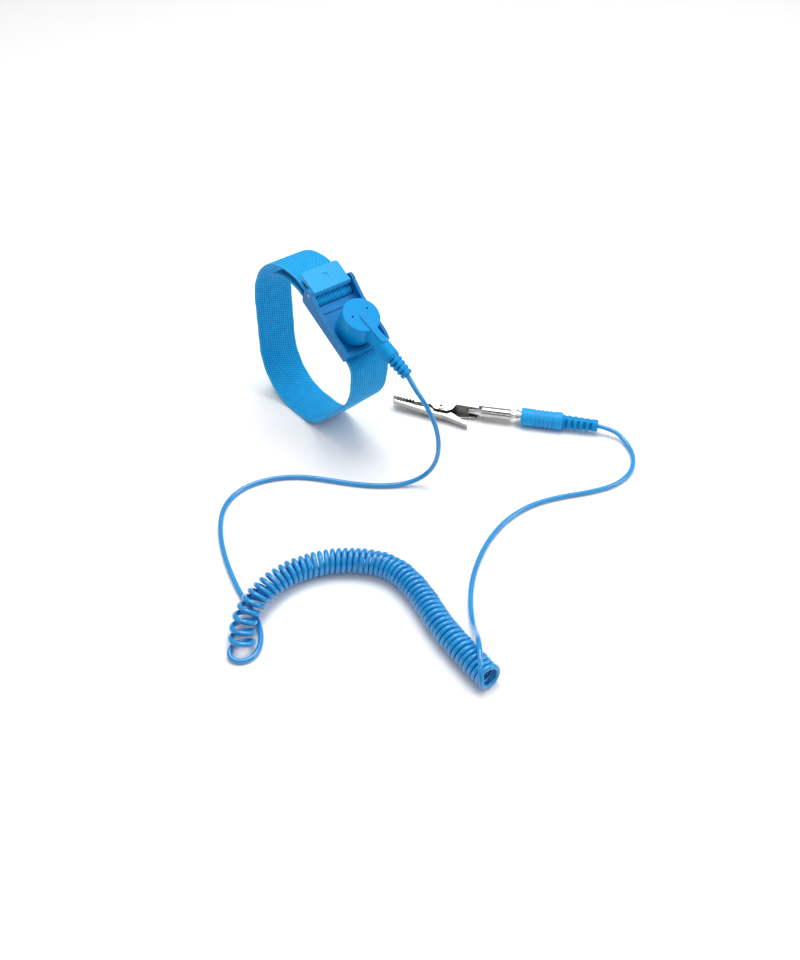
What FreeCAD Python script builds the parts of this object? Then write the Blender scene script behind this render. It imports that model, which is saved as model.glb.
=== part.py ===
# Grounding wrist strap: an elastic band with an adjustable lever buckle, a snap
# housing that pulls off the buckle's stud, a curly ground cord, and a banana plug
# with a crocodile clip pushed over its pin.
#
# Frame: millimetres, +Z up. The strap stands as an open loop on a surface at Z = 0,
# the hand goes through it along +Y, and the origin is under the middle of the strap
# with its snap housing. The cord and plug lie on the same surface.
import FreeCAD, Part
import math
import os
from FreeCAD import Placement, Rotation, Vector

os.makedirs("parts", exist_ok=True)

# ---- driving dimensions ----
BAND_WIDTH = 19.0
BAND_THICKNESS = 1.4
LOOP_LEFT_X = -44.8          # centreline of the band at its far left
SHOULDER_RADIUS = 27.0       # band over the top of the wrist
TAIL_LENGTH = 24.0           # free end of the band, folded back inside the loop

BUCKLE_X = 13.72             # stud axis where it meets the underside of the tray
BUCKLE_Z = 56.24
BUCKLE_TILT = 29.5           # degrees, nose of the buckle down

TRAY_BACK = -21.7            # along the buckle, measured from the stud axis
TRAY_FRONT = 10.0
TRAY_HALF_WIDTH = 11.2
WALL = 1.4
FLOOR = 2.0
SLOT_BACK = -14.6            # front edge of the slot that the band goes down through
SIDE_WALL_HEIGHT = 4.8
FRONT_WALL_HEIGHT = 3.6
LOBE_RADIUS = 2.6

BAR_U = -17.8                # crossbar that the band folds over
BAR_N = 1.6
BAR_RADIUS = 1.3
LEVER_PIN_U = -19.6
LEVER_PIN_N = 6.0
LEVER_PIN_RADIUS = 0.8
LEVER_BARREL_RADIUS = 1.5
LEVER_WIDTH = 18.0
LEVER_REACH = 9.4            # flap beyond the pin
LEVER_THICKNESS = 1.7

DISC_RADIUS = 7.9
DISC_BOTTOM = 2.35
DISC_TOP = 13.8
DISC_SPLIT = 9.2             # joint between the two halves of the snap housing
SHELL_WALL = 1.3
ARM_RADIUS = 3.3
ARM_N = 10.5
ARM_END = 20.4
BOOT_END = 29.6
SNAP_TURN = 7.0             # degrees that the housing has swivelled on the stud
STUD_NECK = 1.6
STUD_HEAD = 1.95

CORD_RADIUS = 1.0
CONDUCTOR_RADIUS = 0.45
COIL_RADIUS = 5.0
CORD_REST = 1.05             # centreline height of the cord lying on the surface

PLUG_X = 47.3                # rim of the clip's barrel, on the plug's axis
PLUG_Y = 61.7
PLUG_Z = 4.1
PLUG_TURN = 39.5             # degrees from +X
HANDLE_START = 4.6
HANDLE_LENGTH = 18.4
HANDLE_RADIUS = 4.0
PLUG_END = 38.2
PIN_RADIUS = 1.25

CLIP_LENGTH = 54.0
CLIP_HALF_WIDTH = 2.9
CLIP_SHEET = 0.55
CLIP_ROLL = 13.0             # degrees; the clip leans on its thumb lever
JAW_HALF_WIDTH = 1.6         # lower jaw and thumb lever
RIVET_Q = -31.3
RIVET_Y = -1.9
BARREL_RADIUS = 2.55
BARREL_LENGTH = 13.0

# Route of the lead that leaves the snap housing: it falls to the surface, lies in
# a wide bow, passes under the loose end of the coil and turns round into it.
LEAD_TO_SNAP = [
    (50.1, 3.3, 46.9),
    (54.6, 5.6, 40.2),
    (58.1, 7.7, 31.4),
    (59.6, 8.5, 21.8),
    (58.9, 7.7, 12.6),
    (55.9, 4.7, 5.2),
    (51.9, -1.7, 1.5),
    (46.6, -10.0, CORD_REST),
    (39.0, -17.9, CORD_REST),
    (29.1, -25.6, CORD_REST),
    (19.1, -33.8, CORD_REST),
    (11.9, -45.3, CORD_REST),
    (10.0, -58.1, CORD_REST),
    (15.0, -69.3, CORD_REST),
    (25.4, -77.5, CORD_REST),
    (38.0, -83.6, CORD_REST),
    (51.4, -88.0, CORD_REST),
    (63.4, -90.9, CORD_REST),
    (73.6, -91.9, CORD_REST),
    (81.8, -94.8, CORD_REST),
    (87.4, -99.2, CORD_REST),
    (89.8, -104.2, CORD_REST),
    (88.2, -108.9, 1.1),
    (83.8, -110.3, 1.5),
    (80.4, -108.0, 2.4),
    (79.9, -104.6, 3.8),
]

# Centreline of the curly stretch, from its loose end to its closed end.
COIL = [
    (83.4, -104.2, 5.1),
    (76.0, -99.6, 6.4),
    (71.3, -91.3, 7.7),
    (67.2, -80.6, 6.2),
    (65.9, -68.6, 5.2),
    (72.2, -53.2, 5.1),
    (85.7, -39.5, 5.1),
    (103.7, -38.9, 5.1),
    (127.6, -45.8, 5.1),
    (151.8, -46.7, 5.1),
]

# Route of the lead from the coil's closed end, over the coil, to the plug.
LEAD_TO_PLUG = [
    (149.2, -49.2, 9.6),
    (144.2, -45.2, 11.8),
    (138.6, -40.7, 9.8),
    (133.0, -36.7, 5.2),
    (126.4, -32.1, 1.6),
    (118.7, -26.3, CORD_REST),
    (110.5, -18.2, CORD_REST),
    (103.2, -8.0, CORD_REST),
    (97.2, 3.7, CORD_REST),
    (93.6, 16.4, CORD_REST),
    (93.5, 29.5, CORD_REST),
    (97.4, 42.1, CORD_REST),
    (103.2, 53.6, CORD_REST),
    (107.2, 65.6, CORD_REST),
    (105.8, 77.3, CORD_REST),
    (98.6, 86.5, CORD_REST),
    (90.0, 90.3, 1.5),
    (83.3, 90.5, 3.4),
]

# ---- frames ----
BUCKLE = Placement(Vector(BUCKLE_X, 0, BUCKLE_Z), Rotation(Vector(0, 1, 0), BUCKLE_TILT))
SNAP = BUCKLE.multiply(Placement(Vector(0, 0, 0), Rotation(Vector(0, 0, 1), SNAP_TURN)))
PLUG = Placement(Vector(PLUG_X, PLUG_Y, PLUG_Z), Rotation(Vector(0, 0, 1), PLUG_TURN))
CLIP = PLUG.multiply(Placement(Vector(0, 0, 0), Rotation(Vector(1, 0, 0), CLIP_ROLL)))
ALONG = Vector(1, 0, 0)
ACROSS = Vector(0, 1, 0)
UP = Vector(0, 0, 1)


def box(x0, x1, y0, y1, z0, z1):
    return Part.makeBox(x1 - x0, y1 - y0, z1 - z0, Vector(x0, y0, z0))


def rod(radius, start, axis, length):
    return Part.makeCylinder(radius, length, Vector(*start), axis)


def cone(radius_start, radius_end, start, axis, length):
    return Part.makeCone(radius_start, radius_end, length, Vector(*start), axis)


def prism(outline, start, along):
    """Extrude a closed outline of Vectors from `start` by the Vector `along`."""
    points = [point + start for point in outline]
    face = Part.Face(Part.makePolygon(points + [points[0]]))
    return face.extrude(along)


def place(shape, frame):
    moved = shape.copy()
    moved.Placement = frame.multiply(shape.Placement)
    return moved


def save(name, shape):
    shape = shape.removeSplitter()
    if not shape.isValid() or shape.Volume <= 0:
        raise ValueError(name + " isn't a sound solid")
    shape.exportStep("parts/" + name + ".step")
    limits = shape.BoundBox
    print("%-22s %d solid(s) %9.1f mm3  x %.1f..%.1f  y %.1f..%.1f  z %.1f..%.1f" % (
        name, len(shape.Solids), shape.Volume, limits.XMin, limits.XMax,
        limits.YMin, limits.YMax, limits.ZMin, limits.ZMax))


# ---- buckle ----
def buckle_tray():
    tray = box(SLOT_BACK, TRAY_FRONT, -TRAY_HALF_WIDTH, TRAY_HALF_WIDTH, 0, FLOOR)
    step = box(SLOT_BACK, SLOT_BACK + 3.4, -TRAY_HALF_WIDTH, TRAY_HALF_WIDTH, FLOOR, FLOOR + 0.5)
    front = box(TRAY_FRONT - WALL, TRAY_FRONT, -TRAY_HALF_WIDTH, TRAY_HALF_WIDTH, 0, FRONT_WALL_HEIGHT)
    tray = tray.fuse([step, front])
    for side in (-1, 1):
        inner = side * (TRAY_HALF_WIDTH - WALL)
        outline = [
            Vector(TRAY_BACK + 1.2, 0, 0),
            Vector(TRAY_FRONT, 0, 0),
            Vector(TRAY_FRONT, 0, FRONT_WALL_HEIGHT),
            Vector(TRAY_FRONT - 3.0, 0, SIDE_WALL_HEIGHT),
            Vector(SLOT_BACK + 4.0, 0, SIDE_WALL_HEIGHT + 0.9),
            Vector(LEVER_PIN_U + 1.6, 0, LEVER_PIN_N + 2.0),
            Vector(TRAY_BACK, 0, LEVER_PIN_N),
            Vector(TRAY_BACK, 0, 1.2),
        ]
        wall = prism(outline, Vector(0, inner, 0), Vector(0, side * WALL, 0))
        lobe = rod(LOBE_RADIUS, (LEVER_PIN_U, inner, LEVER_PIN_N), ACROSS * side, WALL)
        tray = tray.fuse([wall, lobe])
    inside = TRAY_HALF_WIDTH - WALL
    bar = rod(BAR_RADIUS, (BAR_U, -inside, BAR_N), ACROSS, 2 * inside)
    tray = tray.fuse(bar)
    pin_hole = rod(LEVER_PIN_RADIUS, (LEVER_PIN_U, -20, LEVER_PIN_N), ACROSS, 40)
    rivet_hole = rod(1.2, (0, 0, -1), UP, 5)
    return tray.cut([pin_hole, rivet_hole])


def contact_plate():
    """Bare plate against the skin; the rivet's head sits flush in it."""
    plate = box(-8, 8, -8, 8, -2.2, -1.7)
    plate = plate.makeFillet(3.0, [edge for edge in plate.Edges
                                   if abs(edge.tangentAt(edge.FirstParameter).z) > 0.9])
    return plate.cut(rod(2.6, (0, 0, -3), UP, 2))


def stud_rivet():
    shank = rod(1.2, (0, 0, -2.2), UP, 6.0)
    return shank.fuse(rod(2.6, (0, 0, -2.2), UP, 0.5))


def snap_stud():
    flange = rod(4.6, (0, 0, FLOOR), UP, 0.35)
    neck = rod(STUD_NECK, (0, 0, FLOOR), UP, 2.2)
    head = rod(STUD_HEAD, (0, 0, FLOOR + 1.9), UP, 1.5)
    head = head.makeFillet(0.5, head.Edges)
    stud = flange.fuse([neck, head])
    return stud.cut(rod(1.2, (0, 0, FLOOR - 1), UP, 2.8))


def lever_pin():
    reach = TRAY_HALF_WIDTH - 0.2
    return rod(LEVER_PIN_RADIUS, (LEVER_PIN_U, -reach, LEVER_PIN_N), ACROSS, 2 * reach)


def clamp_lever():
    """Flap, hinge barrel and three gripping ridges that bear down on the band."""
    half = LEVER_WIDTH / 2
    barrel = rod(LEVER_BARREL_RADIUS, (LEVER_PIN_U, -half - 0.5, LEVER_PIN_N), ACROSS, LEVER_WIDTH + 1.0)
    flap = box(LEVER_PIN_U - LEVER_REACH, LEVER_PIN_U + 0.9, -half, half,
               LEVER_PIN_N + 0.1, LEVER_PIN_N + 0.1 + LEVER_THICKNESS)
    corners = [edge for edge in flap.Edges
               if abs(edge.tangentAt(edge.FirstParameter).z) > 0.9
               and edge.CenterOfMass.x < LEVER_PIN_U - 2]
    flap = flap.makeFillet(1.4, corners)
    lever = barrel.fuse(flap)
    dimple = rod(1.5, (LEVER_PIN_U - 4.6, 0, LEVER_PIN_N + LEVER_THICKNESS - 0.1), UP, 1)
    bore = rod(LEVER_PIN_RADIUS + 0.06, (LEVER_PIN_U, -20, LEVER_PIN_N), ACROSS, 40)
    return lever.cut([dimple, bore])


# ---- band ----
class Strip:
    """Grows a band of constant thickness from straight runs and arcs in the XZ plane."""

    def __init__(self, x, z, heading):
        self.x = x
        self.z = z
        self.heading = heading
        self.left = []
        self.right = []

    def side(self, offset):
        angle = math.radians(self.heading + 90)
        return Vector(self.x + offset * math.cos(angle), 0, self.z + offset * math.sin(angle))

    def run(self, length):
        half = BAND_THICKNESS / 2
        start = (self.side(half), self.side(-half))
        self.x += length * math.cos(math.radians(self.heading))
        self.z += length * math.sin(math.radians(self.heading))
        self.left.append(Part.makeLine(start[0], self.side(half)))
        self.right.append(Part.makeLine(start[1], self.side(-half)))

    def bend(self, radius, turn):
        """Arc of centreline radius; a negative turn goes clockwise."""
        half = BAND_THICKNESS / 2
        toward = 1 if turn > 0 else -1
        centre = self.side(toward * radius)
        stops = []
        heading = self.heading
        for part in (0, 0.5, 1):
            self.heading = heading + turn * part
            angle = math.radians(self.heading + 90)
            self.x = centre.x - toward * radius * math.cos(angle)
            self.z = centre.z - toward * radius * math.sin(angle)
            stops.append((self.side(half), self.side(-half)))
        self.left.append(Part.Arc(stops[0][0], stops[1][0], stops[2][0]).toShape())
        self.right.append(Part.Arc(stops[0][1], stops[1][1], stops[2][1]).toShape())

    def solid(self, width):
        half = BAND_THICKNESS / 2
        first = Part.makeLine(self.left[0].Vertexes[0].Point, self.right[0].Vertexes[0].Point)
        last = Part.makeLine(self.side(half), self.side(-half))
        wire = Part.Wire(Part.__sortEdges__(self.left + self.right + [first, last]))
        face = Part.Face(wire)
        face.translate(Vector(0, -width / 2, 0))
        return face.extrude(Vector(0, width, 0))


def buckle_point(u, n):
    return BUCKLE.multVec(Vector(u, 0, n))


def band():
    """The fixed end lies under the tray; the free end folds over the crossbar."""
    fold = BAR_RADIUS + 0.06 + BAND_THICKNESS / 2
    heel = 22.0
    start = buckle_point(-8.0, -0.95)
    strip = Strip(start.x, start.z, -BUCKLE_TILT)
    strip.run(8.0 + TRAY_FRONT + 0.3)
    strip.bend(5.0, -(88 - BUCKLE_TILT))
    strip.bend(40.0, -16)
    strip.bend(22.0, -31)
    ball = 20.0
    floor_z = BAND_THICKNESS / 2
    drop = strip.z - floor_z - ball * (1 - math.cos(math.radians(45)))
    strip.run(drop / math.sin(math.radians(45)))
    strip.bend(ball, -45)
    strip.run(strip.x - (LOOP_LEFT_X + heel))
    strip.bend(heel, -90)
    # The run into the buckle ends exactly above the crossbar.
    over_bar = buckle_point(BAR_U, BAR_N + fold)
    tilt = math.radians(BUCKLE_TILT)
    entry_x = LOOP_LEFT_X + SHOULDER_RADIUS * (1 + math.sin(tilt))
    entry_run = (over_bar.x - entry_x) / math.cos(tilt)
    entry_z = over_bar.z + entry_run * math.sin(tilt)
    strip.run(entry_z - SHOULDER_RADIUS * math.cos(tilt) - strip.z)
    strip.bend(SHOULDER_RADIUS, -90 - BUCKLE_TILT)
    strip.run(entry_run)
    strip.bend(fold, -180)
    strip.run(entry_run)
    inner = SHOULDER_RADIUS - 2 * fold
    strip.bend(inner, math.degrees(TAIL_LENGTH / inner))
    body = strip.solid(BAND_WIDTH)
    return body.cut(place(rod(1.2, (0, 0, -3), UP, 3.0), BUCKLE))


# ---- snap housing ----
def arm(radius, start, end):
    return rod(radius, (start, 0, ARM_N), ALONG, end - start)


def snap_outside():
    disc = rod(DISC_RADIUS, (0, 0, DISC_BOTTOM), UP, DISC_TOP - DISC_BOTTOM)
    rims = [edge for edge in disc.Edges if abs(edge.CenterOfMass.z - DISC_TOP) < 0.01]
    disc = disc.makeFillet(0.5, rims)
    stalk = arm(ARM_RADIUS, 3.0, ARM_END)
    return disc.fuse(stalk)


def snap_inside():
    """Room for the socket, the resistor and its leads."""
    well = rod(5.0, (0, 0, DISC_BOTTOM - 1), UP, 1.65)
    pocket = rod(4.4, (0, 0, DISC_BOTTOM), UP, ARM_N + 0.5 - DISC_BOTTOM)
    bore = arm(ARM_RADIUS - SHELL_WALL, 3.0, ARM_END + 1)
    return well.fuse([pocket, bore])


def snap_half(upper):
    whole = snap_outside().cut(snap_inside())
    big = 60.0
    if upper:
        keep = box(-big, big, -big, big, DISC_SPLIT, big)
        rib = box(-0.5, 14.5, -1.4, 1.4, DISC_TOP - 0.6, DISC_TOP + 0.5)
        uprights = [edge for edge in rib.Edges
                    if abs(edge.tangentAt(edge.FirstParameter).z) > 0.9]
        rib = rib.makeFillet(1.35, uprights)
        half = whole.common(keep).fuse(rib.cut(snap_inside()))
        pins = [rod(0.45, (-1.2, side * 3.9, DISC_TOP - 1.6), UP, 3) for side in (-1, 1)]
        return half.cut(pins)
    keep = box(-big, big, -big, big, -big, DISC_SPLIT)
    return whole.common(keep)


def snap_boot():
    """Tapered strain relief with four slots on each side; it grips the cord."""
    length = BOOT_END - ARM_END
    boot = cone(2.95, 1.95, (ARM_END, 0, ARM_N), ALONG, length)
    for index in range(4):
        start = ARM_END + 1.0 + index * 2.1
        for side in (-1, 1):
            slot = box(start, start + 0.9, side * 2.2 - 1.0, side * 2.2 + 1.0, ARM_N - 4, ARM_N + 4)
            boot = boot.cut(slot)
    return boot.cut(arm(CONDUCTOR_RADIUS, ARM_END - 1, BOOT_END + 1))


def snap_socket():
    ring = rod(4.2, (0, 0, 3.2), UP, 2.9).cut(rod(2.1, (0, 0, 3.0), UP, 2.7))
    return ring.cut(socket_wires(0.30))


def socket_wires(radius):
    wires = [rod(radius, (-2.9, side * 2.45, 4.1), ALONG, 5.8) for side in (-1, 1)]
    return wires[0].fuse(wires[1])


def resistor_body():
    return arm(0.9, 8.6, 13.0)


def resistor_caps():
    return Part.makeCompound([arm(1.1, 7.8, 8.6), arm(1.1, 13.0, 13.8)])


def resistor_leads():
    near = arm(0.3, 3.3, 7.8)
    drop = rod(0.3, (3.6, 0, 6.1), UP, ARM_N - 6.1)
    return Part.makeCompound([near.fuse(drop), arm(0.3, 13.8, 15.4)])


def crimp_ferrule():
    return arm(0.9, 15.4, 18.6).cut(arm(CONDUCTOR_RADIUS, 16.6, 19))


def conductor_snap_end():
    return arm(CONDUCTOR_RADIUS, 16.6, BOOT_END)


# ---- cord ----
def routed_tube(name, points, radius):
    """Straight runs joined by arcs as large as the runs allow."""
    points = [Vector(*point) for point in points]
    runs = [(points[i + 1] - points[i]).Length for i in range(len(points) - 1)]
    edges = []
    radii = []
    start = points[0]
    length = 0.0
    for i in range(1, len(points) - 1):
        before = (points[i - 1] - points[i]).normalize()
        after = (points[i + 1] - points[i]).normalize()
        turn = math.pi - before.getAngle(after)
        trim = 0.45 * min(runs[i - 1], runs[i])
        bend = trim / math.tan(turn / 2)
        radii.append(bend)
        first = points[i] + before * trim
        last = points[i] + after * trim
        middle = points[i] + (before + after).normalize() * (
            bend / math.cos(turn / 2) - bend)
        edges.append(Part.makeLine(start, first))
        edges.append(Part.Arc(first, middle, last).toShape())
        length += (first - start).Length + bend * turn
        start = last
    edges.append(Part.makeLine(start, points[-1]))
    length += (points[-1] - start).Length
    path = Part.Wire(edges)
    profile = Part.Wire(Part.makeCircle(radius, points[0], points[1] - points[0]))
    tube = path.makePipeShell([profile], True, False)
    expected = math.pi * radius ** 2 * length
    print("%s: length %.1f, volume %.1f for %.1f expected" % (name, length, tube.Volume, expected))
    print("  radii " + " ".join("%.1f" % value for value in radii))
    return tube


# ---- banana plug ----
def shaft(radius, start, end):
    return rod(radius, (start, 0, 0), ALONG, end - start)


def plug_handle():
    end = HANDLE_START + HANDLE_LENGTH
    handle = shaft(HANDLE_RADIUS, HANDLE_START, end)
    handle = handle.makeFillet(0.5, handle.Edges)
    rings = []
    for index in range(5):
        start = HANDLE_START + 6.0 + index * 1.9
        rings.append(shaft(HANDLE_RADIUS + 0.02, start, start + 0.9).cut(
            shaft(HANDLE_RADIUS - 0.28, start, start + 0.9)))
    return handle.cut(rings + [shaft(1.6, HANDLE_START - 1, end - 4), shaft(1.25, end - 5, end + 1)])


def plug_boot():
    """Strain relief of three slotted segments behind the handle."""
    start = HANDLE_START + HANDLE_LENGTH
    boot = cone(2.9, 2.1, (start, 0, 0), ALONG, PLUG_END - start)
    pitch = (PLUG_END - start) / 3
    for index in range(3):
        cut_start = start + pitch * index + pitch - 1.5
        for side in (-1, 1):
            boot = boot.cut(box(cut_start, cut_start + 1.0, side * 2.3 - 1.0, side * 2.3 + 1.0, -5, 5))
    return boot.cut(shaft(CONDUCTOR_RADIUS, start - 1, PLUG_END + 1))


def banana_core():
    pin = shaft(PIN_RADIUS, -19.0, 2.2)
    nose = cone(0.5, PIN_RADIUS, (-20.0, 0, 0), ALONG, 1.0)
    collar = shaft(2.9, 2.2, 3.4)
    neck = shaft(2.3, 3.4, HANDLE_START)
    stem = shaft(1.6, HANDLE_START, 16.0)
    core = nose.fuse([pin, collar, neck, stem])
    return core.cut(shaft(CONDUCTOR_RADIUS, 12.0, 17.0))


def plug_crimp():
    return shaft(1.25, 18.8, 22.6).cut(shaft(CONDUCTOR_RADIUS, 18, 23))


def conductor_plug_end():
    return shaft(CONDUCTOR_RADIUS, 12.0, PLUG_END)


def banana_spring():
    """Sleeve with four bowed leaves that grip the inside of the clip's barrel."""
    bore = PIN_RADIUS + 0.05
    sleeves = [shaft(1.55, -17.6, -15.8), shaft(1.55, -1.0, 0.8)]
    leaves = []
    for index in range(4):
        outline = [
            Vector(-16.0, -0.7, bore + 0.02),
            Vector(-11.0, -0.7, 1.58),
            Vector(-6.0, -0.7, 1.58),
            Vector(-0.8, -0.7, bore + 0.02),
            Vector(-0.8, -0.7, bore + 0.25),
            Vector(-6.0, -0.7, 1.82),
            Vector(-11.0, -0.7, 1.82),
            Vector(-16.0, -0.7, bore + 0.25),
        ]
        leaf = prism(outline, Vector(0, 0, 0), Vector(0, 1.4, 0))
        leaf.rotate(Vector(0, 0, 0), ALONG, 90 * index)
        leaves.append(leaf)
    cage = sleeves[0].fuse(sleeves[1:] + leaves)
    return cage.cut(shaft(bore, -20, 3))


# ---- crocodile clip ----
def toothed_edge(start, end, level_start, level_end, depth, pitch):
    """Zigzag from start to end; the valleys lie `depth` above the line of tips."""
    points = []
    count = int(abs(end - start) / pitch)
    for index in range(count + 1):
        q = start + (end - start) * index / count
        level = level_start + (level_end - level_start) * index / count
        points.append(Vector(q, level, 0))
        if index < count:
            middle = q + (end - start) / count / 2
            points.append(Vector(middle, level + depth, 0))
    return points


def channel(outline, web_shift, half_width):
    """Folded sheet: two cheeks of this outline and a web along its outer edge."""
    outside = prism(outline, Vector(0, 0, -half_width), Vector(0, 0, 2 * half_width))
    room = prism(outline, Vector(0, 0, -half_width + CLIP_SHEET),
                 Vector(0, 0, 2 * (half_width - CLIP_SHEET)))
    room.translate(Vector(0, web_shift, 0))
    deeper = room.copy()
    deeper.translate(Vector(0, 2.4 * web_shift, 0))
    deepest = room.copy()
    deepest.translate(Vector(0, 6.0 * web_shift, 0))
    return outside.cut([room, deeper, deepest])


def clip_body():
    """Upper jaw, cheeks and rolled barrel, folded from one strip."""
    tip = -CLIP_LENGTH
    outline = [Vector(tip, 1.9, 0), Vector(tip, 1.2, 0)]
    outline += toothed_edge(tip + 0.4, tip + 10.4, 0.45, -1.15, 0.8, 1.4)
    outline += [
        Vector(-41.0, -1.2, 0),
        Vector(-36.0, -1.6, 0),
        Vector(-34.2, -3.6, 0),
        Vector(-28.4, -4.2, 0),
        Vector(-26.0, -2.6, 0),
        Vector(-24.6, 0.2, 0),
        Vector(-14.5, -0.4, 0),
        Vector(-14.5, 2.7, 0),
        Vector(-31.0, 2.9, 0),
        Vector(-44.0, 2.6, 0),
    ]
    jaw = channel(outline, -CLIP_SHEET, CLIP_HALF_WIDTH)
    bridge = box(-16.5, -11.0, 1.2, 2.7, -1.9, 1.9)
    tab = box(-16.6, -12.8, 1.0, 2.2, 1.7, CLIP_HALF_WIDTH)
    lower_cheek = prism([Vector(-29.0, -4.0, 0), Vector(-27.0, -3.0, 0), Vector(-15.5, -2.3, 0),
                         Vector(-14.5, 0.5, 0), Vector(-29.0, 0.5, 0)],
                        Vector(0, 0, -CLIP_HALF_WIDTH), Vector(0, 0, CLIP_SHEET))
    barrel = shaft(BARREL_RADIUS, -BARREL_LENGTH, 0)
    body = jaw.fuse([barrel, bridge, tab, lower_cheek])
    slit = box(-BARREL_LENGTH - 1, 1, -0.5, 0.5, 0, 5)
    slit.rotate(Vector(0, 0, 0), ALONG, 35)
    pivot = rod(1.15, (RIVET_Q, RIVET_Y, -6), UP, 12)
    bore = shaft(BARREL_RADIUS - CLIP_SHEET, -BARREL_LENGTH - 5, 1)
    return body.cut([slit, bore, pivot])


def clip_lever():
    """Lower jaw and thumb lever, a narrower channel inside the body's cheeks."""
    tip = -CLIP_LENGTH
    teeth = toothed_edge(tip + 1.1, tip + 9.7, -0.65, -2.05, 0.7, 1.4)
    outline = teeth + [
        Vector(-37.0, -2.6, 0),
        Vector(-33.6, 0.3, 0),
        Vector(-29.2, 0.3, 0),
        Vector(-27.0, -3.6, 0),
        Vector(-18.5, -8.6, 0),
        Vector(-18.2, -9.8, 0),
        Vector(-28.5, -6.3, 0),
        Vector(-36.5, -4.9, 0),
        Vector(tip + 0.3, -0.75, 0),
    ]
    lever = channel(outline, CLIP_SHEET, JAW_HALF_WIDTH)
    return lever.cut(rod(1.15 + 0.04, (RIVET_Q, RIVET_Y, -6), UP, 12))


def clip_rivet():
    head = 0.4
    reach = CLIP_HALF_WIDTH + head
    shank = rod(1.15, (RIVET_Q, RIVET_Y, -reach), UP, 2 * reach)
    heads = [rod(1.7, (RIVET_Q, RIVET_Y, -reach), UP, head),
             rod(1.7, (RIVET_Q, RIVET_Y, CLIP_HALF_WIDTH), UP, head)]
    return shank.fuse(heads).cut(rod(0.6, (RIVET_Q, RIVET_Y, -6), UP, 12))


def clip_spring():
    """Spring of three turns round the rivet."""
    pitch = 0.5
    helix = Part.makeHelix(pitch, 3 * pitch, 1.62)
    helix.translate(Vector(RIVET_Q, RIVET_Y, -1.5 * pitch))
    wire = Part.Wire(helix)
    start = wire.Edges[0].valueAt(wire.Edges[0].FirstParameter)
    tangent = wire.Edges[0].tangentAt(wire.Edges[0].FirstParameter)
    profile = Part.Wire(Part.makeCircle(0.22, start, tangent))
    return wire.makePipeShell([profile], True, True)


# ---- write the sub-parts ----
for name, make in (("buckle_tray", buckle_tray), ("contact_plate", contact_plate),
                   ("stud_rivet", stud_rivet), ("snap_stud", snap_stud),
                   ("lever_pin", lever_pin), ("clamp_lever", clamp_lever)):
    save(name, place(make(), BUCKLE))
save("band", band())

for name, make in (("snap_boot", snap_boot), ("snap_socket", snap_socket),
                   ("resistor_body", resistor_body), ("resistor_caps", resistor_caps),
                   ("resistor_leads", resistor_leads), ("crimp_ferrule", crimp_ferrule),
                   ("conductor_snap_end", conductor_snap_end)):
    save(name, place(make(), SNAP))
save("snap_shell_top", place(snap_half(True), SNAP))
save("snap_shell_base", place(snap_half(False), SNAP))
save("socket_spring", place(socket_wires(0.25), SNAP))

for name, make in (("plug_handle", plug_handle), ("plug_boot", plug_boot),
                   ("banana_core", banana_core), ("plug_crimp", plug_crimp),
                   ("conductor_plug_end", conductor_plug_end),
                   ("banana_spring", banana_spring)):
    save(name, place(make(), PLUG))

for name, make in (("clip_body", clip_body), ("clip_lever", clip_lever),
                   ("clip_rivet", clip_rivet), ("clip_spring", clip_spring)):
    save(name, place(make(), CLIP))

snap_exit = SNAP.multVec(Vector(BOOT_END + 0.25, 0, ARM_N))
plug_exit = PLUG.multVec(Vector(PLUG_END, 0, 0))
lead_to_snap = [tuple(snap_exit)] + LEAD_TO_SNAP
lead_to_plug = LEAD_TO_PLUG + [tuple(plug_exit)]
save("lead_to_snap", routed_tube("lead_to_snap", lead_to_snap, CORD_RADIUS))
save("coil", routed_tube("coil", COIL, COIL_RADIUS))
save("lead_to_plug", routed_tube("lead_to_plug", lead_to_plug, CORD_RADIUS))
print("snap exit", [round(value, 2) for value in snap_exit])
print("plug exit", [round(value, 2) for value in plug_exit])
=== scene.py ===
import math

import bpy
from mathutils import Matrix, Vector


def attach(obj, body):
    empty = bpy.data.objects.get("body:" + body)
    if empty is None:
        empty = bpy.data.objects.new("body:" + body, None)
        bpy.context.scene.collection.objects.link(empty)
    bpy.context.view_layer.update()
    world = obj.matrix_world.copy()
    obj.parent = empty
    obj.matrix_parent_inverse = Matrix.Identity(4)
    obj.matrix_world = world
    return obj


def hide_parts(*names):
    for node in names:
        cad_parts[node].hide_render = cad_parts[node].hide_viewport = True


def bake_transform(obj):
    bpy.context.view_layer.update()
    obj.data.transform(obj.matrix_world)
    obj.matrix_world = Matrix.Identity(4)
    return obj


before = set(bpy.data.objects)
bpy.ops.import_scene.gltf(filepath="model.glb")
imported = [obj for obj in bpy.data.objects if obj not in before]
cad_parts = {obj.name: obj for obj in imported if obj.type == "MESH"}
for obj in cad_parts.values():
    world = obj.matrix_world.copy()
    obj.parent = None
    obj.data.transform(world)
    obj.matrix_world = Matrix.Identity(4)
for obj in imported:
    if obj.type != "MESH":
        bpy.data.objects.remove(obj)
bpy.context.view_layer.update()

# ---- sizes, in metres, as in the CAD model ----
BUCKLE_ORIGIN = Vector((0.01372, 0, 0.05624))
BUCKLE_TILT = math.radians(29.5)
SNAP_TURN = math.radians(7)
PLUG_ORIGIN = Vector((0.0473, 0.0617, 0.0041))
PLUG_TURN = math.radians(39.5)
CORD_RADIUS = 0.001
CORD_ARM = 0.0105         # height of the cord's exit above the buckle's own origin
CORD_EXIT_U = 0.02985     # the cord leaves the snap housing here, in its own frame
PLUG_EXIT_U = 0.0382      # and reaches the plug here, in the plug's own frame
COIL_RADIUS = 0.0041      # from the coil's axis to the middle of the cord
CORD_SIDES = 14
REST = 0.00105            # centreline height of the cord on the surface

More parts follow.
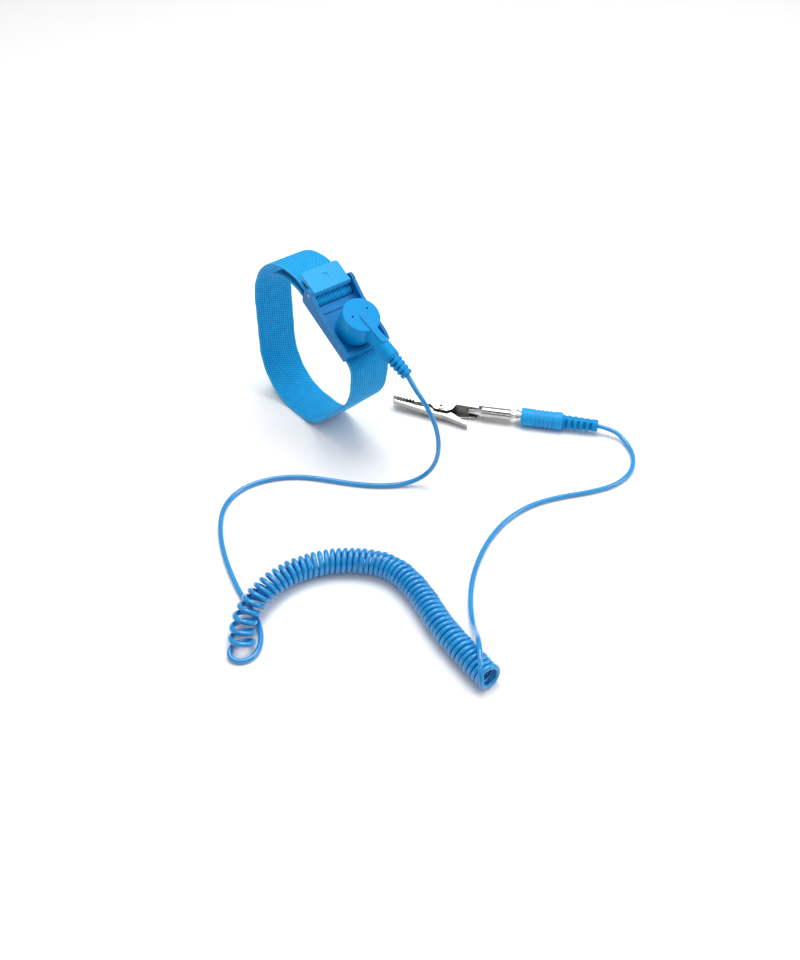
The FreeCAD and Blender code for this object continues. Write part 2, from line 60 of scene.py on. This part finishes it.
BAND_WIDTH = 0.019
BAND_THICKNESS = 0.0014
COLUMNS = 17              # columns of stitches across the band
STITCH = 0.00098          # length of one stitch along the band
STITCH_SLANT = 0.9
STITCH_TALL, STITCH_WIDE = 2.4, 3.0   # powers: higher gives a squarer stitch
BAR_U = -0.0178           # crossbar that the band folds over, in the buckle's own frame
BAR_N = 0.0016
FOLD_RADIUS = 0.00206     # middle of the band round the crossbar
BAND_START = (-0.008, 0, -0.00095)   # fixed end under the tray, in the buckle's own frame
BAND_TAIL = 0.024         # free end, inside the loop
LOOP_LEFT_X = -0.0448
SHOULDER_RADIUS, HEEL_RADIUS, BALL_RADIUS = 0.027, 0.022, 0.020
BAND_EDGE = 0.0003        # width of the rounding at the band's edges
RELIEF = 0.00015          # how far the stitches stand out of the band's body
BODY_HALF = BAND_THICKNESS / 2 - 0.00016
POINTS_ACROSS = 76

BUCKLE = Matrix.Translation(BUCKLE_ORIGIN) @ Matrix.Rotation(BUCKLE_TILT, 4, "Y")
SNAP = BUCKLE @ Matrix.Rotation(SNAP_TURN, 4, "Z")
PLUG = Matrix.Translation(PLUG_ORIGIN) @ Matrix.Rotation(PLUG_TURN, 4, "Z")

# Route of the cord from the snap housing to the coil's loose end.
LEAD_TO_SNAP = [
    (0.0501, 0.0033, 0.0469),
    (0.0546, 0.0056, 0.0402),
    (0.0581, 0.0077, 0.0314),
    (0.0596, 0.0085, 0.0218),
    (0.0589, 0.0077, 0.0126),
    (0.0559, 0.0047, 0.0052),
    (0.0519, -0.0017, 0.0015),
    (0.0466, -0.0100, REST),
    (0.0390, -0.0179, REST),
    (0.0291, -0.0256, REST),
    (0.0191, -0.0338, REST),
    (0.0119, -0.0453, REST),
    (0.0100, -0.0581, REST),
    (0.0150, -0.0693, REST),
    (0.0254, -0.0775, REST),
    (0.0380, -0.0836, REST),
    (0.0514, -0.0880, REST),
    (0.0634, -0.0909, REST),
    (0.0736, -0.0919, REST),
    (0.0818, -0.0948, REST),
    (0.0874, -0.0992, REST),
    (0.0898, -0.1042, REST),
    (0.0882, -0.1089, 0.0011),
    (0.0838, -0.1103, 0.0015),
]

# Axis of the curly stretch, from its loose end to its closed end.
COIL = [
    (0.0846, -0.1050, 0.0030),
    (0.0796, -0.1016, 0.0036),
    (0.0756, -0.0980, 0.0047),
    (0.0724, -0.0930, 0.0058),
    (0.0700, -0.0880, 0.0061),
    (0.0680, -0.0820, 0.0057),
    (0.0668, -0.0750, 0.0053),
    (0.0672, -0.0665, 0.0051),
    (0.0722, -0.0532, 0.0051),
    (0.0857, -0.0395, 0.0051),
    (0.1037, -0.0389, 0.0051),
    (0.1276, -0.0458, 0.0051),
    (0.1518, -0.0467, 0.0051),
]

# Route of the cord from the coil's closed end to the plug.
LEAD_TO_PLUG = [
    (0.1492, -0.0492, 0.0096),
    (0.1442, -0.0452, 0.0118),
    (0.1386, -0.0407, 0.0098),
    (0.1330, -0.0367, 0.0052),
    (0.1264, -0.0321, 0.0016),
    (0.1187, -0.0263, REST),
    (0.1105, -0.0182, REST),
    (0.1032, -0.0080, REST),
    (0.0972, 0.0037, REST),
    (0.0936, 0.0164, REST),
    (0.0935, 0.0295, REST),
    (0.0974, 0.0421, REST),
    (0.1032, 0.0536, REST),
    (0.1072, 0.0656, REST),
    (0.1058, 0.0773, REST),
    (0.0986, 0.0865, REST),
    (0.0900, 0.0903, 0.0015),
    (0.0833, 0.0905, 0.0034),
]

# Distance between turns along the coil: drawn out at the loose end, closed at the other.
COIL_PITCH = [
    (0.000, 0.0047),
    (0.010, 0.0046),
    (0.020, 0.0036),
    (0.030, 0.0028),
    (0.045, 0.0024),
    (0.075, 0.0024),
    (0.110, 0.0023),
    (0.148, 0.0022),
]
# How far the turns have fallen over, in degrees, at a distance along the coil.
COIL_LEAN = [
    (0.000, 63),
    (0.010, 60),
    (0.020, 45),
    (0.030, 25),
    (0.045, 0),
]
COIL_START = math.radians(150)    # the first turn begins on the left, low down
POINTS_PER_TURN = 14


# ---- small helpers ----
def link(name, mesh):
    piece = bpy.data.objects.new(name, mesh)
    bpy.context.scene.collection.objects.link(piece)
    return piece


def smooth(piece, angle=40):
    for polygon in piece.data.polygons:
        polygon.use_smooth = True
    piece.data.set_sharp_from_angle(angle=math.radians(angle))


def between(table, x):
    """Linear value of a small table of (x, value) at x."""
    for (x0, y0), (x1, y1) in zip(table, table[1:]):
        if x <= x1:
            return y0 + (y1 - y0) * max(0.0, (x - x0) / (x1 - x0))
    return table[-1][1]


def nurbs_line(points, resolution):
    """Points read from one NURBS spline that has `points` as its control points."""
    data = bpy.data.curves.new("line", "CURVE")
    data.dimensions = "3D"
    spline = data.splines.new("NURBS")
    spline.points.add(len(points) - 1)
    for target, point in zip(spline.points, points):
        target.co = (point[0], point[1], point[2], 1)
    spline.order_u = 3
    spline.use_endpoint_u = True
    data.resolution_u = resolution
    curve = link("line", data)
    bpy.context.view_layer.update()
    mesh = bpy.data.meshes.new_from_object(curve)
    line = [vertex.co.copy() for vertex in mesh.vertices]
    bpy.data.objects.remove(curve)
    bpy.data.curves.remove(data)
    bpy.data.meshes.remove(mesh)
    return line


def thin_out(line, gap):
    """Keep points of a line that are about `gap` apart."""
    kept = [line[0]]
    for point in line[1:-1]:
        if (point - kept[-1]).length >= gap:
            kept.append(point)
    if (line[-1] - kept[-1]).length < gap * 0.5:
        kept.pop()
    return kept + [line[-1]]


def frames_along(line, first_side):
    """Tangent and two normals at each point, turned as little as possible."""
    found = []
    side = Vector(first_side)
    for index, point in enumerate(line):
        before = line[max(index - 1, 0)]
        after = line[min(index + 1, len(line) - 1)]
        tangent = (after - before).normalized()
        side = (side - tangent * side.dot(tangent)).normalized()
        found.append((tangent, side, tangent.cross(side)))
    return found


def lofted(name, rings):
    """Closed mesh through rings of points; every ring has the same count."""
    mesh = bpy.data.meshes.new(name)
    count = len(rings[0])
    vertices = [tuple(point) for ring in rings for point in ring]
    faces = []
    for row in range(len(rings) - 1):
        for i in range(count):
            j = (i + 1) % count
            faces.append((row * count + i, row * count + j,
                          (row + 1) * count + j, (row + 1) * count + i))
    faces.append(tuple(reversed(range(count))))
    faces.append(tuple((len(rings) - 1) * count + i for i in range(count)))
    mesh.from_pydata(vertices, [], faces)
    mesh.update()
    return link(name, mesh)


# ---- materials ----
class Nodes:
    """Short calls for building one material's node tree."""

    def __init__(self, name):
        self.material = bpy.data.materials.new(name)
        self.material.use_nodes = True
        self.tree = self.material.node_tree
        self.shader = self.tree.nodes["Principled BSDF"]

    def add(self, kind, **values):
        node = self.tree.nodes.new(kind)
        for key, value in values.items():
            setattr(node, key, value)
        return node

    def join(self, source, target):
        self.tree.links.new(source, target)

    def math(self, operation, first, second=None, clamp=False):
        node = self.add("ShaderNodeMath", operation=operation, use_clamp=clamp)
        for socket, value in zip(node.inputs, (first, second)):
            if value is None:
                continue
            if isinstance(value, (int, float)):
                socket.default_value = value
            else:
                self.join(value, socket)
        return node.outputs[0]

    def falling(self, value, power):
        """1 in the middle of a stitch, 0 at half a stitch from it."""
        distance = self.math("ABSOLUTE", self.math("MULTIPLY", value, 2))
        return self.math("SUBTRACT", 1.0, self.math("POWER", distance, power))

    def noise(self, scale, detail=3, roughness=0.55, stretch=None):
        place = self.add("ShaderNodeTexCoord").outputs["Object"]
        if stretch:
            mapping = self.add("ShaderNodeMapping")
            mapping.inputs["Scale"].default_value = stretch
            self.join(place, mapping.inputs["Vector"])
            place = mapping.outputs[0]
        node = self.add("ShaderNodeTexNoise")
        node.inputs["Scale"].default_value = scale
        node.inputs["Detail"].default_value = detail
        node.inputs["Roughness"].default_value = roughness
        self.join(place, node.inputs["Vector"])
        return node.outputs["Fac"]

    def spread(self, value, low, high, out_low, out_high):
        node = self.add("ShaderNodeMapRange", clamp=True)
        self.join(value, node.inputs["Value"])
        for name, number in (("From Min", low), ("From Max", high),
                             ("To Min", out_low), ("To Max", out_high)):
            node.inputs[name].default_value = number
        return node.outputs["Result"]

    def mix(self, factor, first, second):
        node = self.add("ShaderNodeMix", data_type="RGBA")
        if isinstance(factor, (int, float)):
            node.inputs[0].default_value = factor
        else:
            self.join(factor, node.inputs[0])
        for socket, value in ((node.inputs[6], first), (node.inputs[7], second)):
            if isinstance(value, tuple):
                socket.default_value = (*value, 1)
            else:
                self.join(value, socket)
        return node.outputs[2]

    def bump(self, height, distance, strength=1.0, before=None):
        node = self.add("ShaderNodeBump")
        node.inputs["Distance"].default_value = distance
        node.inputs["Strength"].default_value = strength
        self.join(height, node.inputs["Height"])
        if before is not None:
            self.join(before, node.inputs["Normal"])
        return node.outputs["Normal"]

    def rounded(self, radius):
        """Shading normal of edges rounded to a radius."""
        node = self.add("ShaderNodeBevel", samples=6)
        node.inputs["Radius"].default_value = radius
        return node.outputs["Normal"]

    def edge_mask(self, normal, low, high, most):
        """0 on a flat face, `most` along an edge that `normal` rounds."""
        product = self.add("ShaderNodeVectorMath", operation="DOT_PRODUCT")
        self.join(normal, product.inputs[0])
        self.join(self.add("ShaderNodeNewGeometry").outputs["Normal"], product.inputs[1])
        return self.spread(product.outputs["Value"], low, high, most, 0)

    def finish(self, colour=None, roughness=None, normal=None, **fixed):
        if colour is not None:
            self.join(colour, self.shader.inputs["Base Color"])
        if roughness is not None:
            self.join(roughness, self.shader.inputs["Roughness"])
        if normal is not None:
            self.join(normal, self.shader.inputs["Normal"])
        for name, value in fixed.items():
            self.shader.inputs[name.replace("_", " ")].default_value = value
        return self.material


def moulded(name, colour, deep, gloss, grain, edge_wear_and_highlight):
    """Moulded plastic: faintly clouded colour, fine grain, and paler edges, partly wear from rubbing and
    partly a painted highlight along the rims.
    """
    n = Nodes(name)
    fine = n.noise(4200, 2)
    soft_edge = n.rounded(0.0003)
    # Paler edges: partly wear from rubbing, partly a painted highlight along the rims.
    edge = n.edge_mask(soft_edge, 0.86, 0.995, edge_wear_and_highlight)
    patchy = n.math("MULTIPLY", edge, n.spread(n.noise(500, 3), 0.3, 0.6, 0.55, 1))
    base = n.mix(n.spread(n.noise(70, 3), 0.25, 0.75, 0, 1), deep, colour)
    pale = tuple(0.70 * channel + 0.27 for channel in colour)
    base = n.mix(patchy, base, pale)
    rough = n.math("ADD", n.spread(n.noise(260, 3), 0.3, 0.7, gloss - 0.04, gloss + 0.05),
                   n.math("MULTIPLY", fine, 0.04))
    return n.finish(base, rough, n.bump(fine, grain, 0.5, soft_edge), IOR=1.47,
                    Specular_IOR_Level=0.18)


def knit_material():
    """Ribbed elastic: slanted stitches in columns, from the band's own flat map."""
    n = Nodes("elastic_knit")
    flat = n.add("ShaderNodeUVMap", uv_map="flat").outputs[0]
    split = n.add("ShaderNodeSeparateXYZ")
    n.join(flat, split.inputs[0])
    along = split.outputs[0]
    across = split.outputs[1]
    column = n.math("FLOOR", across)
    odd = n.math("PINGPONG", column, 1)
    x = n.math("SUBTRACT", n.math("FRACT", across), 0.5)
    slanted = n.math("ADD", along, n.math("MULTIPLY", x, STITCH_SLANT))
    shifted = n.math("ADD", slanted, n.math("MULTIPLY", odd, 0.5))
    y = n.math("SUBTRACT", n.math("FRACT", shifted), 0.5)
    tall = n.falling(y, STITCH_TALL)
    wide = n.falling(x, STITCH_WIDE)
    stitch = n.math("MULTIPLY", tall, wide, clamp=True)
    fibre = n.noise(5200, 2)
    # The dark blue between the stitches is painted shade in the gaps; the stitch blue is the yarn's colour.
    shade = n.mix(n.spread(stitch, 0.05, 0.75, 0, 1), (0.0, 0.075, 0.250), (0.0, 0.450, 0.96))
    shade = n.mix(n.spread(n.noise(320, 3), 0.4, 0.75, 0, 0.25), shade, (0.01, 0.50, 0.97))
    # Paler stitch tops are a painted highlight, broken up by fibre noise.
    stitch_highlight = n.spread(n.math("MULTIPLY", stitch, fibre), 0.38, 0.62, 0, 0.45)
    shade = n.mix(stitch_highlight, shade, (0.06, 0.60, 1.0))
    from_middle = n.math("ABSOLUTE", n.math("SUBTRACT", across, COLUMNS / 2))
    selvedge = n.spread(from_middle, COLUMNS / 2 - 0.5, COLUMNS / 2 - 0.2, 0, 0.4)
    shade = n.mix(selvedge, shade, (0.08, 0.58, 0.98))
    height = n.math("ADD", stitch, n.math("MULTIPLY", fibre, 0.25))
    return n.finish(shade, n.spread(fibre, 0.3, 0.7, 0.55, 0.75), n.bump(height, 0.00016, 1.0),
                    Sheen_Weight=0.08, Sheen_Roughness=0.4, Specular_IOR_Level=0.2)


def cord_material(name, colour, deep):
    """Glossy vinyl jacket with faint drawing lines and a little dust."""
    n = Nodes(name)
    long_cloud = n.noise(45, 3)
    speck = n.noise(2600, 2)
    base = n.mix(n.spread(long_cloud, 0.3, 0.7, 0, 1), deep, colour)
    base = n.mix(n.spread(speck, 0.66, 0.74, 0, 0.18), base, tuple(0.8 * c + 0.1 for c in colour))
    rough = n.spread(n.noise(420, 4), 0.3, 0.7, 0.16, 0.26)
    return n.finish(base, rough, n.bump(n.noise(900, 3), 0.00004, 0.35), IOR=1.52, Coat_Weight=0.6,
                    Coat_Roughness=0.10)


def plated(name, colour, low, high, tarnish):
    """Plated sheet: rolling lines, small stains, and brighter edges from rubbing wear."""
    n = Nodes(name)
    lines = n.noise(900, 3, stretch=(0.08, 1, 1))
    stain = n.noise(240, 4)
    soft_edge = n.rounded(0.00012)
    base = n.mix(n.spread(stain, 0.55, 0.8, 0, tarnish), colour, tuple(c * 0.55 for c in colour))
    edge = n.edge_mask(soft_edge, 0.86, 0.995, 0.6)
    base = n.mix(edge, base, (0.95, 0.94, 0.92))
    rough = n.math("ADD", n.spread(stain, 0.3, 0.7, low, high), n.math("MULTIPLY", lines, 0.06))
    return n.finish(base, rough, n.bump(lines, 0.00003, 0.25, soft_edge), Metallic=1.0)


def stranded_copper():
    n = Nodes("stranded_copper")
    wave = n.add("ShaderNodeTexWave", bands_direction="DIAGONAL")
    wave.inputs["Scale"].default_value = 900
    wave.inputs["Distortion"].default_value = 0.6
    n.join(n.add("ShaderNodeTexCoord").outputs["Object"], wave.inputs["Vector"])
    base = n.mix(wave.outputs["Fac"], (0.36, 0.15, 0.07), (0.85, 0.47, 0.29))
    rough = n.spread(n.noise(500, 3), 0.3, 0.7, 0.25, 0.42)
    return n.finish(base, rough, n.bump(wave.outputs["Fac"], 0.0001, 0.6), Metallic=1.0)


tray_blue = moulded("tray_moulded", (0.0, 0.205, 0.520), (0.0, 0.180, 0.475), 0.36, 0.00003, 0.75)
shell_blue = moulded("shell_moulded", (0.0, 0.300, 0.700), (0.0, 0.272, 0.650), 0.33, 0.00004, 0.50)
lever_blue = moulded("lever_moulded", (0.030, 0.385, 0.770), (0.022, 0.350, 0.730), 0.40, 0.00003, 0.35)
plug_blue = moulded("plug_moulded", (0.018, 0.360, 0.780), (0.012, 0.320, 0.720), 0.30, 0.00002, 0.30)
soft_blue = moulded("soft_moulded", (0.002, 0.290, 0.660), (0.001, 0.245, 0.590), 0.42, 0.00003, 0.25)
tan = moulded("resistor_lacquer", (0.62, 0.50, 0.30), (0.52, 0.40, 0.22), 0.35, 0.00003, 0.2)
knit = knit_material()
jacket = cord_material("cord_jacket", (0.0, 0.300, 0.700), (0.0, 0.245, 0.610))
nickel = plated("bright_nickel", (0.72, 0.71, 0.68), 0.14, 0.24, 0.25)
clip_nickel = plated("clip_nickel", (0.52, 0.51, 0.48), 0.10, 0.20, 0.45)
steel = plated("spring_steel", (0.60, 0.60, 0.60), 0.22, 0.34, 0.35)
copper = stranded_copper()


def dress(piece, material):
    piece.data.materials.clear()
    piece.data.materials.append(material)


# ---- band ----
STEP = 0.00025


def band_line():
    """Stations (x, z, heading) along the middle of the band, as in the CAD model."""
    stations = []
    state = {"x": 0.0, "z": 0.0, "h": 0.0}

    def run(length):
        count = max(1, round(length / STEP))
        for _ in range(count):
            stations.append((state["x"], state["z"], state["h"]))
            state["x"] += length / count * math.cos(state["h"])
            state["z"] += length / count * math.sin(state["h"])

    def bend(radius, degrees):
        turn = math.radians(degrees)
        toward = 1 if turn > 0 else -1
        centre_x = state["x"] - toward * radius * math.sin(state["h"])
        centre_z = state["z"] + toward * radius * math.cos(state["h"])
        count = max(2, round(abs(turn) * radius / STEP))
        start = state["h"]
        for index in range(count):
            stations.append((state["x"], state["z"], state["h"]))
            state["h"] = start + turn * (index + 1) / count
            state["x"] = centre_x + toward * radius * math.sin(state["h"])
            state["z"] = centre_z - toward * radius * math.cos(state["h"])

    tilt_degrees = math.degrees(BUCKLE_TILT)
    half_corner = math.radians(45)
    begin = BUCKLE @ Vector(BAND_START)
    state.update(x=begin.x, z=begin.z, h=-BUCKLE_TILT)
    # Out from under the tray, over its edge, and down the +X side.
    run(0.0183)
    bend(0.005, -(88 - tilt_degrees))
    bend(0.040, -16)
    bend(0.022, -31)
    # Along the surface, and up the -X side.
    drop = state["z"] - BAND_THICKNESS / 2 - BALL_RADIUS * (1 - math.cos(half_corner))
    run(drop / math.sin(half_corner))
    bend(BALL_RADIUS, -45)
    run(state["x"] - (LOOP_LEFT_X + HEEL_RADIUS))
    bend(HEEL_RADIUS, -90)
    # Over the shoulder to the crossbar, round it, and back inside the loop.
    over_bar = BUCKLE @ Vector((BAR_U, 0, BAR_N + FOLD_RADIUS))
    entry_x = LOOP_LEFT_X + SHOULDER_RADIUS * (1 + math.sin(BUCKLE_TILT))
    entry_run = (over_bar.x - entry_x) / math.cos(BUCKLE_TILT)
    entry_z = over_bar.z + entry_run * math.sin(BUCKLE_TILT)
    run(entry_z - SHOULDER_RADIUS * math.cos(BUCKLE_TILT) - state["z"])
    bend(SHOULDER_RADIUS, -90 - tilt_degrees)
    run(entry_run)
    bend(FOLD_RADIUS, -180)
    run(entry_run)
    inner = SHOULDER_RADIUS - 2 * FOLD_RADIUS
    bend(inner, math.degrees(BAND_TAIL / inner))
    stations.append((state["x"], state["z"], state["h"]))
    return stations


def stitch_height(along, across):
    """0 to 1: slanted stitches in columns; the units are stitches and columns."""
    column = math.floor(across)
    x = across - column - 0.5
    y = (along + STITCH_SLANT * x + 0.5 * (column % 2)) % 1.0 - 0.5
    tall = 1 - abs(2 * y) ** STITCH_TALL
    wide = 1 - abs(2 * x) ** STITCH_WIDE
    return max(0.0, tall) * max(0.0, wide)


def make_band():
    """The band's mesh with its stitches in it; gives back the band's flat length."""
    stations = band_line()
    half = BAND_WIDTH / 2
    flat_width = BAND_WIDTH - 2 * BAND_EDGE
    places = [-half + BAND_EDGE + flat_width * index / POINTS_ACROSS
              for index in range(POINTS_ACROSS + 1)]
    outline = [(y, 1) for y in places] + [(half, 0.45), (half, -0.45)]
    outline += [(y, -1) for y in reversed(places)] + [(-half, -0.45), (-half, 0.45)]
    rings = []
    flats = []
    length = 0.0
    previous = None
    for x, z, heading in stations:
        opened = 0.0
        if previous is not None:
            moved = math.hypot(x - previous[0], z - previous[1])
            length += moved
            # Stitches stand further out where the band is folded tightly.
            opened = min(1.0, FOLD_RADIUS * abs(heading - previous[2]) / moved)
        previous = (x, z, heading)
        raised = RELIEF * (1 + 1.6 * opened ** 4)
        normal_x, normal_z = -math.sin(heading), math.cos(heading)
        ring = []
        flat = []
        for y, face in outline:
            u = length / STITCH
            v = (y + half) / BAND_WIDTH * COLUMNS
            if abs(face) == 1:
                column = min(max(v, 0.001), COLUMNS - 0.001)
                offset = face * (BODY_HALF + raised * stitch_height(u, column))
                edge = (half - abs(y)) / 0.0011
                if edge < 1:
                    offset *= 0.80 + 0.20 * max(0.0, edge)
            else:
                offset = face * BODY_HALF
            wander = 0.00007 * math.sin(length * 700) * (y / half)
            ring.append(Vector((x + normal_x * offset, y + wander, z + normal_z * offset)))
            flat.append((u, v))
        rings.append(ring)
        flats.append(flat)
    piece = lofted("elastic_band", rings)
    layer = piece.data.uv_layers.new(name="flat")
    flat_values = [pair for flat in flats for pair in flat]
    for loop in piece.data.loops:
        layer.data[loop.index].uv = flat_values[loop.vertex_index]
    smooth(piece, 70)
    dress(piece, knit)
    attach(piece, "strap")
    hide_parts("band")
    return length


band_length = make_band()


# ---- cord ----
def coil_turns():
    """Points round the curly stretch: left-handed turns that lean back where it is loose."""
    axis = nurbs_line(COIL, 24)
    distance = [0.0]
    for first, second in zip(axis, axis[1:]):
        distance.append(distance[-1] + (second - first).length)
    travel = 0.0
    turns = 0.0
    while travel < distance[-1]:
        travel += between(COIL_PITCH, travel) / POINTS_PER_TURN
        turns += 1 / POINTS_PER_TURN
    # The last turn ends on the near side, on its way up, where the lead goes on.
    started = COIL_START / (2 * math.pi)
    whole_sweep = 2 * math.pi * (started + round(turns - started))
    steps = round(whole_sweep / (2 * math.pi) * POINTS_PER_TURN)
    advance = turns / steps

    points = []
    index = 0
    travel = 0.0
    for step in range(steps + 1):
        while index < len(distance) - 2 and distance[index + 1] < travel:
            index += 1
        span = distance[index + 1] - distance[index]
        part = min(1.0, max(0.0, (travel - distance[index]) / span))
        centre = axis[index].lerp(axis[index + 1], part)
        along = axis[index + 1] - axis[index]
        along = Vector((along.x, along.y, 0)).normalized()
        side = along.cross(Vector((0, 0, 1)))
        lean = math.radians(between(COIL_LEAN, travel))
        low = along * math.sin(lean) - Vector((0, 0, 1)) * math.cos(lean)
        angle = COIL_START - whole_sweep * step / steps
        turn = step / POINTS_PER_TURN
        radius = COIL_RADIUS + 0.00008 * math.sin(turn * 1.7) + 0.00005 * math.sin(turn * 4.3 + 1)
        point = centre + (side * math.cos(angle) + low * math.sin(angle)) * radius
        point.z = max(point.z, REST)
        points.append(point)
        travel += between(COIL_PITCH, travel) * advance
    return points


def cord_points():
    """Control points of the whole cord (lead, curly stretch, lead), and its exit."""
    exit_point = SNAP @ Vector((CORD_EXIT_U, 0, CORD_ARM))
    far_exit = PLUG @ Vector((PLUG_EXIT_U, 0, 0))
    return ([exit_point] + [Vector(p) for p in LEAD_TO_SNAP] + coil_turns()
            + [Vector(p) for p in LEAD_TO_PLUG] + [far_exit], exit_point)


def make_cord():
    """The whole cord as one tube; gives back its piece, line, length and exit."""
    controls, exit_point = cord_points()
    line = thin_out(nurbs_line(controls, 8), 0.0008)
    rings = []
    for point, (_, side, back) in zip(line, frames_along(line, (0, 1, 0))):
        ring = []
        for index in range(CORD_SIDES):
            angle = 2 * math.pi * index / CORD_SIDES
            ring.append(point + (side * math.cos(angle) + back * math.sin(angle)) * CORD_RADIUS)
        rings.append(ring)
    piece = lofted("curly_cord", rings)
    smooth(piece, 60)
    dress(piece, jacket)
    length = sum((b - a).length for a, b in zip(line, line[1:]))
    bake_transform(piece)
    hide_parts("lead_to_snap", "coil", "lead_to_plug")
    return piece, line, length, exit_point


cord, cord_line, cord_length, cord_exit = make_cord()
print("cord length", round(cord_length, 4), "band length", round(band_length, 4))


# ---- strain reliefs ----
def relief_boot(name, frame_matrix, span, height, radii, slots, slot_width):
    """Tapered sleeve whose sides are cut into ribs, joined along its top and bottom.

    `span` and `slots` are distances along X in the frame given; each slot is a middle.
    """
    start, end = span
    radius_start, radius_end = radii
    rings = []
    rows = 120
    sides = 36
    for row in range(rows + 1):
        u = start + (end - start) * row / rows
        part = row / rows
        radius = radius_start + (radius_end - radius_start) * part
        notch = 0.0
        for centre in slots:
            near = abs(u - centre) / (slot_width / 2)
            if near < 1.35:
                notch = max(notch, 1 / (1 + (near / 0.85) ** 8))
        swell = 1.0 + 0.05 * (1 - notch)
        if row in (0, rows):
            swell *= 0.93
        ring = []
        for index in range(sides):
            angle = 2 * math.pi * index / sides
            c, s = math.cos(angle), math.sin(angle)
            sideways = min(1.0, max(0.0, (abs(c) - 0.50) / 0.25))
            r = radius * swell * (1 - notch * (0.45 * sideways + 0.06))
            ring.append(frame_matrix @ Vector((u, r * c, height + r * s)))
        rings.append(ring)
    piece = lofted(name, rings)
    smooth(piece, 50)
    return piece


snap_boot = relief_boot("snap_strain_relief", SNAP, (0.0203, 0.0299), CORD_ARM,
                        (0.00295, 0.00235), [0.02185 + 0.0021 * i for i in range(4)], 0.0008)
dress(snap_boot, soft_blue)
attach(snap_boot, "snap_housing")
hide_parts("snap_boot")

plug_boot = relief_boot("plug_strain_relief", PLUG, (0.0229, 0.0386), 0.0,
                        (0.0030, 0.0025), [0.0246 + 0.0027 * i for i in range(5)], 0.0011)
dress(plug_boot, soft_blue)
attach(plug_boot, "cord_set")
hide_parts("plug_boot")


# ---- CAD pieces that keep their shape ----
for node, material in (
    ("buckle_tray", tray_blue), ("clamp_lever", lever_blue), ("lever_pin", steel),
    ("contact_plate", nickel), ("snap_stud", nickel), ("stud_rivet", nickel), ("snap_shell_top", shell_blue),
    ("snap_shell_base", shell_blue), ("snap_socket", nickel), ("socket_spring", steel),
    ("resistor_body", tan), ("resistor_caps", nickel), ("resistor_leads", steel),
    ("crimp_ferrule", steel), ("conductor_snap_end", copper), ("plug_handle", plug_blue),
    ("banana_core", nickel), ("plug_crimp", steel), ("conductor_plug_end", copper),
    ("banana_spring", steel), ("clip_body", clip_nickel), ("clip_lever", clip_nickel),
    ("clip_rivet", clip_nickel), ("clip_spring", steel),
):
    dress(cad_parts[node], material)

# ---- floor, light and camera ----
floor_mesh = bpy.data.meshes.new("floor")
floor_mesh.from_pydata([(-4, -4, 0), (4, -4, 0), (4, 4, 0), (-4, 4, 0)], [], [(0, 1, 2, 3)])
floor = link("floor", floor_mesh)
paper = Nodes("white_table")
dress(floor, paper.finish(paper.mix(paper.spread(paper.noise(2, 2), 0.3, 0.7, 0, 1),
                                    (0.93, 0.93, 0.93), (0.95, 0.95, 0.95)),
                          paper.spread(paper.noise(6, 2), 0.3, 0.7, 0.55, 0.65)))

world = bpy.data.worlds.new("studio")
bpy.context.scene.world = world
world.use_nodes = True
sky = world.node_tree
background = sky.nodes["Background"]
direction = sky.nodes.new("ShaderNodeTexCoord")
height = sky.nodes.new("ShaderNodeSeparateXYZ")
ramp = sky.nodes.new("ShaderNodeValToRGB")
sky.links.new(direction.outputs["Generated"], height.inputs[0])
sky.links.new(height.outputs["Z"], ramp.inputs["Fac"])
ramp.color_ramp.elements[0].position = 0.15
ramp.color_ramp.elements[0].color = (0.16, 0.16, 0.16, 1)
ramp.color_ramp.elements[1].position = 0.80
ramp.color_ramp.elements[1].color = (1, 1, 1, 1)
# The backdrop itself shows pale; the darker band low in the sky is only for reflections.
backdrop = sky.nodes.new("ShaderNodeMix")
backdrop.data_type = "RGBA"
backdrop.inputs[7].default_value = (0.95, 0.95, 0.95, 1)
sky.links.new(sky.nodes.new("ShaderNodeLightPath").outputs["Is Camera Ray"], backdrop.inputs[0])
sky.links.new(ramp.outputs["Color"], backdrop.inputs[6])
sky.links.new(backdrop.outputs[2], background.inputs["Color"])
background.inputs["Strength"].default_value = 0.85


def area_light(name, place, target, size, power):
    data = bpy.data.lights.new(name, "AREA")
    data.shape = "RECTANGLE"
    data.size, data.size_y = size
    data.energy = power
    lamp = bpy.data.objects.new(name, data)
    bpy.context.scene.collection.objects.link(lamp)
    lamp.location = place
    lamp.rotation_euler = (Vector(target) - Vector(place)).to_track_quat("-Z", "Y").to_euler()


area_light("overhead", (-0.10, 0.15, 0.85), (0.05, 0, 0), (0.55, 0.55), 5)
area_light("window", (0.55, 0.55, 0.50), (0.03, 0, 0.02), (0.30, 0.50), 1.8)

AIM = Vector((0.04675, -0.00172, 0))          # point on the surface in the middle of the picture
VIEW_BACK = Vector((0.5865, -0.4750, 0.6561))  # from that point towards the camera
CAMERA_DISTANCE = 0.465
camera_data = bpy.data.cameras.new("camera")
camera_data.lens = 41.25
camera_data.sensor_width = 36
camera = bpy.data.objects.new("camera", camera_data)
bpy.context.scene.collection.objects.link(camera)
camera.location = AIM + VIEW_BACK * CAMERA_DISTANCE
camera.rotation_euler = VIEW_BACK.to_track_quat("Z", "Y").to_euler()
bpy.context.scene.camera = camera
bpy.context.scene.view_settings.view_transform = "Standard"
